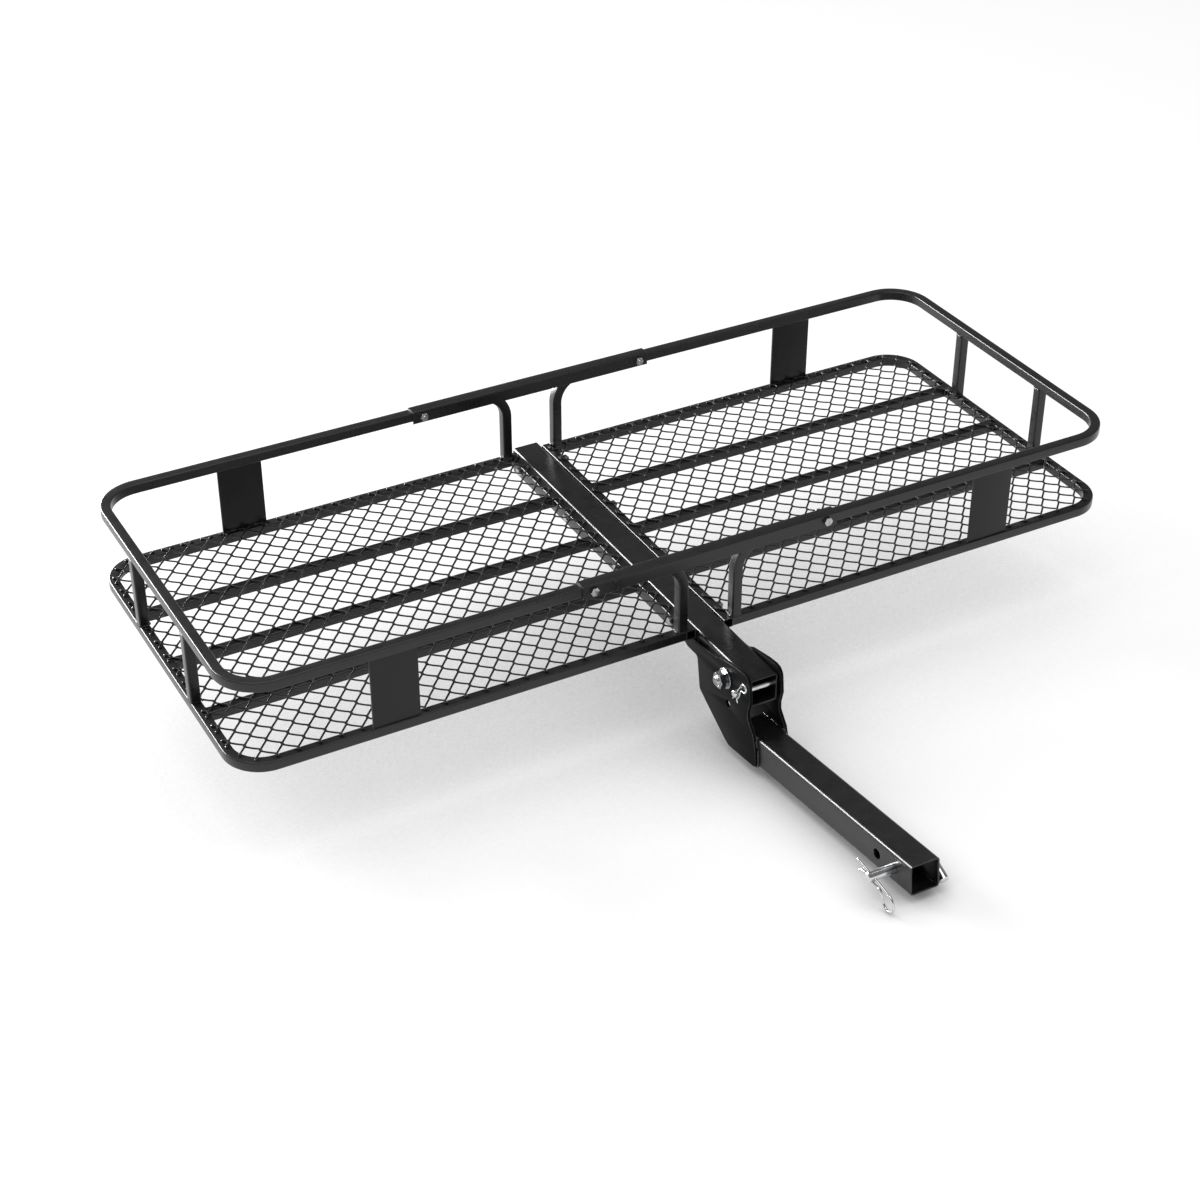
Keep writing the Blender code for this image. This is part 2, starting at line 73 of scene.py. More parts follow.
# Fold pivot and lock
PIVOT = Vector((0.0, 0.4425, 0.0975))
LIFT = math.radians(6.44)
PIVOT_BOLT = 0.016
PIVOT_FLATS = 0.024
PIVOT_HEAD = 0.010
PIVOT_NUT = 0.013
WASHER = 0.034
WASHER_THICK = 0.0025
LOCK_REACH = 0.045
LOCK_ANGLE = math.radians(183.0)
STOW_ANGLE = math.radians(266.5)
LOCK_PIN = 0.012
PLATE = 0.0055
PLATE_EASE = 0.0006

# Centre beam, from the pivot
BEAM = 0.050
BEAM_WALL = 0.003
BEAM_FRONT = -0.0602
BEAM_BACK = 0.7393
BEAM_TOP = 0.0288

# Basket, from the pivot
TUBE = 0.017
TUBE_WALL = 0.0016
TUBE_CORNER = 0.0022
HALF_LENGTH = 0.790
FRONT = 0.1008
BACK = 0.7258
FLOOR_LOW = 0.0116
RAIL_TOP = 0.1686
RAIL_BEND = 0.0740
FLOOR_BEND = 0.0640
POST_AT = 0.049
POST_BEND = 0.056
END_POST_STEP = 0.114
CROSS_STEP = 0.148
SIDE_PLATE_IN = 0.498
SIDE_PLATE_OUT = 0.575
SIDE_PLATE_THICK = 0.004

# Expanded metal of the floor
STRAND_PITCH_X = 0.03375
STRAND_PITCH_Y = 0.0410
STRAND_WIDE = 0.0031
STRAND_THICK = 0.0022
BOND_HALF = 0.0032
BOND_TILT = math.radians(-24)
STRAND_AT = (0.3022, 0.2151)
MESH_LAP = 0.0085

# Rail sleeves and fasteners
SLEEVE_HALF = 0.227
SLEEVE_WALL = 0.002
SLEEVE_DROP = 0.023
RAIL_BOLT_AT = 0.2085
SMALL_BOLT = 0.008
SMALL_FLATS = 0.013
SMALL_HEAD = 0.0055
SMALL_NUT = 0.0068
CROSS_BOLT_STEP = 0.175

# Hitch pin and clips
HITCH_PIN = 0.016
HITCH_PIN_LEFT = -0.070
HITCH_CLIP_X = -0.061
HITCH_WIRE = 0.0040
LOCK_CLIP_X = -0.0400
LOCK_WIRE = 0.0026

FLOOR_TOP = FLOOR_LOW + TUBE
MIDDLE = (FRONT + BACK) / 2
RAIL_MID = RAIL_TOP - TUBE / 2
PLATE_IN = SHANK / 2 + GAP
PLATE_OUT = PLATE_IN + PLATE
BAR_IN = BEAM / 2 + GAP
BAR_MID = BAR_IN + TUBE / 2
X = Vector((1, 0, 0))
Y = Vector((0, 1, 0))
Z = Vector((0, 0, 1))
STILL = Matrix.Identity(4)
TIP = Matrix.Translation(PIVOT) @ Matrix.Rotation(LIFT, 4, "X")


# Camera, at the photograph's viewing angle
CAMERA_AT = (-1.58963, -2.23818, 1.90714)
CAMERA_AZIMUTH = math.radians(-28.53)
CAMERA_ELEVATION = math.radians(33.917)
CAMERA_LENS = 69.777


# ------------------------------------------------------------------ materials

class Nodes:
    """Short hand for one material's node tree."""

    def __init__(self, name):
        self.material = bpy.data.materials.new(name)
        self.material.use_nodes = True
        self.tree = self.material.node_tree
        self.shader = self.tree.nodes["Principled BSDF"]
        self.where = self.add("ShaderNodeTexCoord").outputs["Object"]

    def add(self, kind, **settings):
        node = self.tree.nodes.new(kind)
        for key, value in settings.items():
            setattr(node, key, value)
        return node

    def link(self, source, target):
        self.tree.links.new(source, target)

    def noise(self, scale, detail=2.0, rough=0.5, where=None):
        node = self.add("ShaderNodeTexNoise")
        node.inputs["Scale"].default_value = scale
        node.inputs["Detail"].default_value = detail
        node.inputs["Roughness"].default_value = rough
        self.link(where or self.where, node.inputs["Vector"])
        return node.outputs["Fac"]

    def ramp(self, value, low, high, out_low=0.0, out_high=1.0):
        node = self.add("ShaderNodeMapRange", clamp=True)
        for key, number in (("From Min", low), ("From Max", high),
                            ("To Min", out_low), ("To Max", out_high)):
            node.inputs[key].default_value = number
        self.link(value, node.inputs["Value"])
        return node.outputs["Result"]

    def maths(self, operation, a, b):
        node = self.add("ShaderNodeMath", operation=operation)
        for socket, value in zip(node.inputs, (a, b)):
            if isinstance(value, (int, float)):
                socket.default_value = value
            else:
                self.link(value, socket)
        return node.outputs[0]

    def mix(self, share, first, second):
        node = self.add("ShaderNodeMix", data_type="RGBA")
        self.link(share, node.inputs["Factor"])
        for key, value in (("A", first), ("B", second)):
            socket = [s for s in node.inputs if s.name == key and s.type == "RGBA"][0]
            if isinstance(value, tuple):
                socket.default_value = (*value, 1.0)
            else:
                self.link(value, socket)
        return [s for s in node.outputs if s.type == "RGBA"][0]

    def edges(self, radius):
        """1 where the surface turns sharply, 0 on its flats."""
        bevel = self.add("ShaderNodeBevel", samples=4)
        bevel.inputs["Radius"].default_value = radius
        geometry = self.add("ShaderNodeNewGeometry")
        dot = self.add("ShaderNodeVectorMath", operation="DOT_PRODUCT")
        self.link(bevel.outputs["Normal"], dot.inputs[0])
        self.link(geometry.outputs["Normal"], dot.inputs[1])
        return self.ramp(dot.outputs["Value"], 0.995, 0.90)

    def bump(self, layers):
        """Stack of (height, strength, distance), the coarse one first."""
        normal = None
        for height, strength, distance in layers:
            node = self.add("ShaderNodeBump")
            node.inputs["Strength"].default_value = strength
            node.inputs["Distance"].default_value = distance
            self.link(height, node.inputs["Height"])
            if normal:
                self.link(normal, node.inputs["Normal"])
            normal = node.outputs["Normal"]
        self.link(normal, self.shader.inputs["Normal"])

    def fix(self, **values):
        for key, value in values.items():
            self.shader.inputs[key.replace("_", " ")].default_value = value


def powder_coat(name, dark, pale, rough, peel, coarse=0.0, gloss=0.5, edge_wear_highlight_grey=0.085):
    """Black powder coat: fine orange peel, faint mottling, and sharp edges paled partly as rubbed
    wear, partly as a painted highlight.

    peel and coarse are bump heights in metres; the last argument sets how pale a sharp edge
    turns, as wear and as painted highlight.
    """
    n = Nodes(name)
    mottle = n.noise(38.0, 4.0, 0.6)
    cloud = n.noise(6.5, 3.0)
    fine = n.noise(620.0, 2.0)
    grain = n.noise(2300.0, 1.0)
    # Edge paling below is partly rubbed wear and partly a painted highlight along the sharp
    # edges.
    edge = n.edges(0.0016)
    edge_wear_and_highlight = n.maths("MULTIPLY", edge, n.ramp(n.noise(17.0, 2.0), 0.36, 0.60))
    colour = n.mix(n.ramp(mottle, 0.3, 0.7), dark, pale)
    speck = n.ramp(grain, 0.70, 0.82)
    colour = n.mix(n.maths("MULTIPLY", speck, 0.25), colour, (0.040, 0.040, 0.042))
    colour = n.mix(n.maths("MULTIPLY", edge_wear_and_highlight, 0.70), colour, (edge_wear_highlight_grey, edge_wear_highlight_grey, edge_wear_highlight_grey * 1.03))
    n.link(colour, n.shader.inputs["Base Color"])
    base = n.ramp(mottle, 0.25, 0.75, rough - 0.045, rough + 0.045)
    cloudy = n.ramp(cloud, 0.3, 0.7, -0.03, 0.03)
    total = n.maths("ADD", base, cloudy)
    total = n.maths("SUBTRACT", total, n.maths("MULTIPLY", edge_wear_and_highlight, 0.05))
    n.link(total, n.shader.inputs["Roughness"])
    layers = [(fine, 0.35, peel), (grain, 0.15, peel * 0.3)]
    if coarse:
        layers.insert(0, (n.noise(240.0, 3.0, 0.65), 0.6, coarse))
    n.bump(layers)
    n.fix(IOR=1.5, Specular_IOR_Level=gloss)
    return n.material


def bright_zinc(name, light, shade, rough, streak=False):
    """Zinc plate: bright, cloudy, with fine handling marks and sharp edges paled as a painted
    highlight.
    """
    n = Nodes(name)
    cloud = n.noise(130.0, 4.0, 0.6)
    fine = n.noise(1500.0, 3.0)
    edge = n.edges(0.0008)
    colour = n.mix(n.ramp(cloud, 0.3, 0.72), shade, light)
    colour = n.mix(n.ramp(n.noise(45.0, 2.0), 0.52, 0.75, 0.0, 0.35), colour,
                   (0.66, 0.62, 0.52))
    # Painted highlight: sharp edges are mixed towards near-white.
    colour = n.mix(n.maths("MULTIPLY", edge, 0.7), colour, (0.90, 0.91, 0.92))
    n.link(colour, n.shader.inputs["Base Color"])
    n.link(n.ramp(cloud, 0.25, 0.75, rough - 0.06, rough + 0.08),
           n.shader.inputs["Roughness"])
    layers = [(cloud, 0.25, 0.00012), (fine, 0.25, 0.00003)]
    if streak:
        spread = n.add("ShaderNodeMapping")
        spread.inputs["Scale"].default_value = (60.0, 2200.0, 2200.0)
        n.link(n.where, spread.inputs["Vector"])
        layers.append((n.noise(1.0, 2.0, where=spread.outputs["Vector"]), 0.3, 0.00004))
    n.bump(layers)
    n.fix(Metallic=1.0)
    return n.material


# The edge greys given below are pale partly for wear and partly as a painted edge highlight.
POWDER = powder_coat("powder_coat_black", (0.0055, 0.0055, 0.006), (0.0085, 0.0085, 0.009),
                     0.29, 0.000008, gloss=0.45, edge_wear_highlight_grey=0.13)
PANEL_COAT = powder_coat("powder_coat_panel", (0.005, 0.005, 0.0055), (0.0075, 0.0075, 0.008),
                         0.36, 0.00002, gloss=0.30, edge_wear_highlight_grey=0.12)
CHEEK_COAT = powder_coat("powder_coat_cheek", (0.0032, 0.0032, 0.0035), (0.005, 0.005, 0.0054),
                         0.40, 0.00003, gloss=0.05, edge_wear_highlight_grey=0.22)
WELD_COAT = powder_coat("powder_coat_weld", (0.006, 0.006, 0.0065), (0.010, 0.010, 0.0105),
                        0.24, 0.00006, 0.00030, gloss=0.5)
MESH_COAT = powder_coat("powder_coat_mesh", (0.0055, 0.0055, 0.006), (0.0085, 0.0085, 0.009),
                        0.30, 0.00003, 0.00010, gloss=0.32)
ZINC = bright_zinc("zinc_plate", (0.52, 0.53, 0.54), (0.24, 0.25, 0.265), 0.22)
ZINC_PIN = bright_zinc("zinc_plate_pin", (0.74, 0.75, 0.76), (0.54, 0.55, 0.57), 0.16, True)


# -------------------------------------------------------------------- shapes

def square_ring(half_u, half_v, corner, steps=6):
    """Points round a rectangle with rounded corners."""
    points = []
    for quarter, (su, sv) in enumerate(((1, 1), (-1, 1), (-1, -1), (1, -1))):
        for step in range(steps + 1):
            turn = math.pi / 2 * (quarter + step / steps)
            points.append((su * (half_u - corner) + corner * math.cos(turn),
                           sv * (half_v - corner) + corner * math.sin(turn)))
    return points


def round_ring(radius, count=36):
    return [(radius * math.cos(2 * math.pi * k / count),
             radius * math.sin(2 * math.pi * k / count)) for k in range(count)]


def bridge(bm, first, second):
    count = len(first)
    for k in range(count):
        j = (k + 1) % count
        bm.faces.new((first[k], first[j], second[j], second[k]))


def tidy(bm):
    bmesh.ops.remove_doubles(bm, verts=bm.verts, dist=0.000004)
    bmesh.ops.recalc_face_normals(bm, faces=bm.faces)


def joined(parts):
    """One bmesh out of several."""
    whole = bmesh.new()
    for part in parts:
        mesh = bpy.data.meshes.new("part")
        part.to_mesh(mesh)
        part.free()
        whole.from_mesh(mesh)
        bpy.data.meshes.remove(mesh)
    return whole


def piece(name, bm, material, body, nodes, where=STILL, crease=38):
    """Make the object, ride it on its body and let it stand for its CAD nodes."""
    bmesh.ops.transform(bm, matrix=where, verts=bm.verts)
    limit = math.radians(crease)
    for face in bm.faces:
        face.smooth = True
    for edge in bm.edges:
        edge.smooth = not (len(edge.link_faces) == 2 and edge.calc_face_angle(0) > limit)
    mesh = bpy.data.meshes.new(name)
    bm.to_mesh(mesh)
    bm.free()
    mesh.materials.append(material)
    item = bpy.data.objects.new(name, mesh)
    bpy.context.scene.collection.objects.link(item)
    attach(item, body)
    if nodes:
        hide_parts(*nodes)
    return item


def stack(origin, axis, across, layers, hollow=False, capped=True):
    """Join rings of equal count along an axis."""
    bm = bmesh.new()
    up = axis.cross(across)
    rings = [[bm.verts.new(origin + axis * along + across * u + up * v) for u, v in ring]
             for along, ring in layers]
    for first, second in zip(rings, rings[1:]):
        bridge(bm, first, second)
    if hollow:
        bridge(bm, rings[-1], rings[0])
    elif capped:
        bm.faces.new(rings[0])
        bm.faces.new(rings[-1])
    tidy(bm)
    return bm


def turned(origin, axis, profile, count=36, hollow=False):
    """Lathe a profile of (along, radius) about an axis."""
    across = Z if abs(axis.z) < 0.5 else X
    layers = [(along, round_ring(radius, count)) for along, radius in profile]
    return stack(origin, axis, across, layers, hollow)


def sweep(stations, ring, across, scale=None, caps=True):
    """Carry a ring along (place, direction) stations."""
    bm = bmesh.new()
    rings = []
    before = None
    for number, (where, ahead) in enumerate(stations):
        if before is not None:
            across = before.rotation_difference(ahead) @ across
        up = ahead.cross(across).normalized()
        size = scale(number) if scale else 1.0
        rings.append([bm.verts.new(where + (across * u + up * v) * size) for u, v in ring])
        before = ahead
    for first, second in zip(rings, rings[1:]):
        bridge(bm, first, second)
    if caps:
        bm.faces.new(rings[0])
        bm.faces.new(rings[-1])
    tidy(bm)
    return bm


def rounded_path(corners, bends, steps=16):
    """Stations along a line of corners, each turned on its own bend radius."""
    stations = [(corners[0], (corners[1] - corners[0]).normalized())]
    for k in range(1, len(corners) - 1):
        into = (corners[k] - corners[k - 1]).normalized()
        out = (corners[k + 1] - corners[k]).normalized()
        turn = into.angle(out)
        bend = bends[k - 1]
        side = (out - into * out.dot(into)).normalized()
        start = corners[k] - into * bend * math.tan(turn / 2)
        for step in range(steps + 1):
            part = turn * step / steps
            where = start + into * bend * math.sin(part) + side * bend * (1 - math.cos(part))
            stations.append((where, into * math.cos(part) + side * math.sin(part)))
    stations.append((corners[-1], (corners[-1] - corners[-2]).normalized()))
    return stations


def smooth_line(points, steps=8):
    """Stations on a curve through points."""
    stations = []
    last = len(points) - 1
    for k in range(last):
        a, b = points[max(k - 1, 0)], points[k]
        c, d = points[k + 1], points[min(k + 2, last)]
        for step in range(steps + (k == last - 1)):
            t = step / steps
            where = 0.5 * ((2 * b) + (c - a) * t + (2 * a - 5 * b + 4 * c - d) * t * t
                           + (3 * b - a - 3 * c + d) * t ** 3)
            ahead = 0.5 * ((c - a) + 2 * (2 * a - 5 * b + 4 * c - d) * t
                           + 3 * (3 * b - a - 3 * c + d) * t * t)
            stations.append((where, ahead.normalized()))
    return stations


def open_tube(start, end, across, half_u, half_v, corner, wall, lip=0.0004):
    """Straight rectangular tube, open at both ends, its rims just broken."""
    axis = (end - start).normalized()
    length = (end - start).length
    inner_corner = max(corner - wall, 0.0006)
    outer = square_ring(half_u, half_v, corner)
    brim = square_ring(half_u - lip, half_v - lip, corner - lip)
    inner = square_ring(half_u - wall, half_v - wall, inner_corner)
    ream = square_ring(half_u - wall + lip, half_v - wall + lip, inner_corner + lip)
    layers = [(lip, inner), (0, ream), (0, brim), (lip, outer), (length - lip, outer),
              (length, brim), (length, ream), (length - lip, inner)]
    return stack(start, axis, across, layers, hollow=True)


def closed_bar(start, end, across, size, corner=TUBE_CORNER):
    ring = square_ring(size / 2, size / 2, corner)
    axis = (end - start).normalized()
    return stack(start, axis, across, [(0, ring), ((end - start).length, ring)])


def drilled(bm, holes, count=32):
    """Cut round holes, each (centre, axis, radius, half length)."""
    cut = bmesh.new()
    for centre, axis, radius, half in holes:
        turn = axis.to_track_quat("Z", "Y").to_matrix().to_4x4()
        bmesh.ops.create_cone(cut, cap_ends=True, segments=count, radius1=radius,
                              radius2=radius, depth=2 * half,
                              matrix=Matrix.Translation(centre) @ turn)
    cutter_mesh = bpy.data.meshes.new("cut")
    cut.to_mesh(cutter_mesh)
    cut.free()
    mesh = bpy.data.meshes.new("solid")
    bm.to_mesh(mesh)
    bm.free()
    cutter = bpy.data.objects.new("cut", cutter_mesh)
    solid = bpy.data.objects.new("solid", mesh)
    for item in (cutter, solid):
        bpy.context.scene.collection.objects.link(item)
    change = solid.modifiers.new("holes", "BOOLEAN")
    change.operation = "DIFFERENCE"
    change.solver = "EXACT"
    change.object = cutter
    bpy.context.view_layer.update()
    made = bpy.data.meshes.new_from_object(
        solid.evaluated_get(bpy.context.evaluated_depsgraph_get()))
    result = bmesh.new()
    result.from_mesh(made)
    for item in (cutter, solid):
        bpy.data.objects.remove(item, do_unlink=True)
    for spare in (cutter_mesh, mesh, made):
        bpy.data.meshes.remove(spare)
    return result


def filleted(points, radius):
    """Outline with its corners rounded."""
    result = []
    count = len(points)
    for k in range(count):
        a, b, c = (Vector(points[(k + s) % count]) for s in (-1, 0, 1))
        into, out = (b - a), (c - b)
        turn = into.angle(out)
        if turn < 0.02:
            result.append(b)
            continue
        reach = min(radius * math.tan(turn / 2), into.length * 0.46, out.length * 0.46)
        first, last = b - into.normalized() * reach, b + out.normalized() * reach
        steps = max(2, round(turn / math.radians(7)))
        for step in range(steps + 1):
            t = step / steps
            result.append(first * (1 - t) ** 2 + b * 2 * t * (1 - t) + last * t * t)
    return [(p[0], p[1]) for p in result]


def cut_plate(outline, openings, thickness, matrix, ease=0.0005):
    """Plate cut to an outline with openings, edges eased, put in place."""
    curve = bpy.data.curves.new("plate", "CURVE")
    curve.dimensions = "2D"
    curve.fill_mode = "BOTH"
    curve.extrude = thickness / 2 - ease
    curve.bevel_depth = ease
    curve.bevel_resolution = 1
    curve.offset = -ease
    for loop in [outline] + openings:
        spline = curve.splines.new("POLY")
        spline.points.add(len(loop) - 1)
        for point, (u, v) in zip(spline.points, loop):
            point.co = (u, v, 0, 1)
        spline.use_cyclic_u = True
    holder = bpy.data.objects.new("plate", curve)
    bpy.context.scene.collection.objects.link(holder)
    bpy.context.view_layer.update()
    raw = bpy.data.meshes.new_from_object(holder)
    bm = bmesh.new()
    bm.from_mesh(raw)
    bpy.data.objects.remove(holder, do_unlink=True)
    bpy.data.curves.remove(curve)
    bpy.data.meshes.remove(raw)
    bmesh.ops.transform(bm, matrix=matrix, verts=bm.verts)
    tidy(bm)
    return bm


def weld(start, end, radius, seed=0.0, lie=None):
    """Rippled bead from start to end, thinning out at both ends."""
    length = (end - start).length
    count = max(5, round(length / 0.0011))
    axis = (end - start).normalized()
    across = (lie or Z).cross(axis)
    across = across.normalized() if across.length > 0.1 else X.cross(axis).normalized()
    stations = []
    for k in range(count + 1):
        t = k / count
        sway = across * radius * 0.22 * noise.noise(Vector((t * length * 160, seed, 1.7)))
        stations.append((start + axis * length * t + sway, axis))

    def swell(k):
        t = k / count
        ends = min(1.0, 0.35 + 4.0 * min(t, 1 - t))
        ripple = 1 + 0.13 * math.sin(t * length * 2 * math.pi / 0.0034 + seed)
        return ends * ripple * (1 + 0.2 * noise.noise(Vector((t * length * 220, seed, 0))))

    return sweep(stations, round_ring(radius, 10), across, swell)


def blob(centre, radius, flat, seed):
    """Small spatter or tack weld."""
    bm = bmesh.new()
    bmesh.ops.create_icosphere(bm, subdivisions=2, radius=radius)
    for vert in bm.verts:
        lump = 1 + 0.22 * noise.noise(vert.co * 420 + Vector((seed, 0, 0)))
        vert.co = Vector((vert.co.x * lump, vert.co.y * lump, vert.co.z * flat * lump))
        vert.co += centre
    return bm


# ------------------------------------------------------------------ fasteners

def hexagon(origin, axis, flats, low, high, bore=None, ease_low=False, count=48):
    """Hex prism whose corners are turned off at the top, and bored if asked."""
    across = Z if abs(axis.z) < 0.5 else X
    up = axis.cross(across)
    rim = flats / 2 * 0.97
    bm = bmesh.new()

    def ring(level):
        verts = []
        for k in range(count):
            turn = 2 * math.pi * k / count
            away = (turn + math.pi / 6) % (math.pi / 3) - math.pi / 6
            reach = flats / 2 / math.cos(away)
            along = level(reach)
            verts.append(bm.verts.new(origin + axis * along + across * reach * math.cos(turn)
                                      + up * reach * math.sin(turn)))
        return verts

    def circle(radius, along):
        return [bm.verts.new(origin + axis * along + across * u + up * v)
                for u, v in round_ring(radius, count)]

    drop = math.tan(math.radians(28))
    rings = []
    if ease_low:
        rings.append(circle(rim, low))
        rings.append(ring(lambda reach: low + (reach - rim) * drop))
    else:
        rings.append(ring(lambda reach: low))
    rings.append(ring(lambda reach: high - (reach - rim) * drop))
    rings.append(circle(rim, high))
    if bore:
        rings += [circle(bore + 0.0006, high), circle(bore, high - 0.0006),
                  circle(bore, low + 0.0006), circle(bore + 0.0006, low)]
    for first, second in zip(rings, rings[1:]):
        bridge(bm, first, second)
    if bore:
        bridge(bm, rings[-1], rings[0])
    else:
        bm.faces.new(rings[0])
        bm.faces.new(rings[-1])
    tidy(bm)
    return bm


def screw(origin, axis, start, end, radius, thread_from, pitch):
    """Round shaft with a thread towards its end and a chamfered tip."""
    profile = [(start, radius), (thread_from, radius)]
    along = thread_from
    while along + pitch < end - 0.0008:
        profile += [(along + pitch * 0.45, radius - pitch * 0.5), (along + pitch * 0.95, radius)]
        along += pitch
    profile += [(end - 0.0008, radius - pitch * 0.2), (end, radius - 0.0011)]
    return turned(origin, axis, profile)


def hex_bolt(seat, axis, length, size, flats, head):
    """Head at the seat with its washer face, shaft along the axis."""
    pitch = 0.0011 if size < 0.012 else 0.0017
    face = turned(seat, axis, [(-0.0008, flats * 0.47), (0, flats * 0.46)])
    top = hexagon(seat, -axis, flats, 0.0006, head)
    crown = turned(seat, -axis, [(head - 0.0006, flats * 0.30), (head - 0.0001, flats * 0.29)])
    shaft = screw(seat, axis, -0.0004, length, size / 2, length * 0.45, pitch)
    return joined([face, top, crown, shaft])


def hex_nut(seat, axis, size, flats, height):
    return hexagon(seat, axis, flats, 0, height, size / 2 + 0.0002, ease_low=True)


def small_bolt(seat, axis, length):
    return hex_bolt(seat, axis, length, SMALL_BOLT, SMALL_FLATS, SMALL_HEAD)


def small_nut(seat, axis):
    return hex_nut(seat, axis, SMALL_BOLT, SMALL_FLATS, SMALL_NUT)


def flat_washer(seat, axis, bore, outer, thickness):
    ease = 0.0003
    return turned(seat, axis, [(0, bore / 2), (0, outer / 2 - ease), (ease, outer / 2),
                               (thickness - ease, outer / 2), (thickness, outer / 2 - ease),
                               (thickness, bore / 2)], 48, hollow=True)


def spring_clip(hub, along, x, wire, tip, ring_at, ring, over, flare):
    """Hairpin clip: a straight leg through the pin, a ring, and a sprung leg
    that runs over the pin and flares. All points are (along, away from it)."""
    away = along.cross(X)
    flat = [(tip, 0), (tip * 0.5, 0), (0, 0), (ring_at[0] * 0.5, 0),
            (ring_at[0] + ring * 0.35, ring_at[1] - ring * 0.99)]
    for k in range(9):
        turn = math.radians(-95 - 31 * k)
        flat.append((ring_at[0] + ring * math.cos(turn), ring_at[1] + ring * math.sin(turn)))
    flat += over + [flare]
    points = [hub + X * (x - hub.x) + along * u + away * v for u, v in flat]
    stations = smooth_line(points, 6)
    last = len(stations) - 1

    def taper(k):
        return min(1.0, 0.55 + 0.25 * min(k, last - k))

    return sweep(stations, round_ring(wire / 2, 14), X, taper)


# ----------------------------------------------------------------- shank side

def build_shank():
    bm = open_tube(Y * SHANK_START, Y * SHANK_END, X, SHANK / 2, SHANK / 2, BIG_CORNER,
                   SHANK_WALL, BIG_LIP)
    bm = drilled(bm, [(Vector((0, 0, 0)), X, PIN_HOLE / 2, 0.04),
                      (Y * SPARE_HOLE_Y, X, PIN_HOLE / 2, 0.04)])
    piece("shank_tube", bm, POWDER, "mount", ["shank"])


def plate_outline():
    """Side view of a hinge plate as (y, z), from the tail round by the top."""
    return [(0.566, 0.1197), (0.5360, 0.1197), (0.4730, 0.1200), (0.4590, 0.1255),
            (0.4140, 0.1300), (0.3900, 0.1300), (0.3800, 0.1270), (0.3740, 0.1180),
            (0.3735, 0.0860), (0.3810, 0.0660), (0.3820, 0.0530), (0.3670, 0.0300),
            (0.3620, 0.0070), (0.3620, -0.0245), (0.4420, -0.0245), (0.4530, -0.0185),
            (0.5100, 0.0240), (0.5270, 0.0380), (0.5305, 0.0950), (0.566, 0.0990)]


def hole_loop(centre, radius):
    return [(centre[0] + u, centre[1] + v) for u, v in round_ring(radius, 40)]


def build_hinge_plates():
    def at(angle):
        return (PIVOT.y + LOCK_REACH * math.cos(angle), PIVOT.z + LOCK_REACH * math.sin(angle))

    holes = [hole_loop((PIVOT.y, PIVOT.z), PIVOT_BOLT / 2 + 0.0003),
             hole_loop(at(LOCK_ANGLE), LOCK_PIN / 2 + 0.0004),
             hole_loop(at(STOW_ANGLE), LOCK_PIN / 2 + 0.0004)]
    for word, side in (("left", -1), ("right", 1)):
        turn = Matrix(((0, 0, 1, side * (PLATE_IN + PLATE / 2)), (1, 0, 0, 0), (0, 1, 0, 0),
                       (0, 0, 0, 1)))
        bm = cut_plate(filleted(plate_outline(), 0.008), holes, PLATE, turn, PLATE_EASE)
        piece("hinge_cheek_" + word, bm, CHEEK_COAT, "mount", ["hinge_plate_" + word])

        def bead(out, low, high, radius, seed):
            """Weld on this plate from low to high, both (y, z)."""
            ends = (Vector((side * out, *place)) for place in (low, high))
            return weld(*ends, radius, side + seed)

        beads = [bead(PLATE_IN, (0.3612, -0.0235), (0.3612, 0.0075), 0.0024, 3.0),
                 bead(PLATE_IN, (0.3625, 0.0085), (0.3665, 0.0235), 0.0026, 5.0),
                 blob(Vector((side * 0.0238, 0.3665, 0.0252)), 0.0034, 0.75, side + 2.0),
                 bead(0.0240, (0.372, 0.0254), (0.424, 0.0254), 0.0022, 7.0),
                 bead(0.0262, (0.364, -0.0250), (0.420, -0.0250), 0.0022, 9.0)]
        piece("hinge_weld_" + word, joined(beads), WELD_COAT, "mount", [])


def build_pivot():
    seat = PLATE_OUT + GAP
    under_head = seat + WASHER_THICK + GAP
    for word, side in (("left", -1), ("right", 1)):
        bm = flat_washer(PIVOT + X * side * seat, X * side, PIVOT_BOLT + 2 * GAP, WASHER,
                         WASHER_THICK)
        piece("washer_" + word, bm, ZINC, "mount", ["pivot_washer_" + word])
    bm = hex_bolt(PIVOT + X * under_head, -X, 2 * (seat + WASHER_THICK) + 0.017,
                  PIVOT_BOLT, PIVOT_FLATS, PIVOT_HEAD)
    piece("fold_bolt", bm, ZINC, "mount", ["pivot_bolt"])
    bm = hex_nut(PIVOT - X * under_head, -X, PIVOT_BOLT, PIVOT_FLATS, PIVOT_NUT)
    piece("fold_nut", bm, ZINC, "mount", ["pivot_nut"])


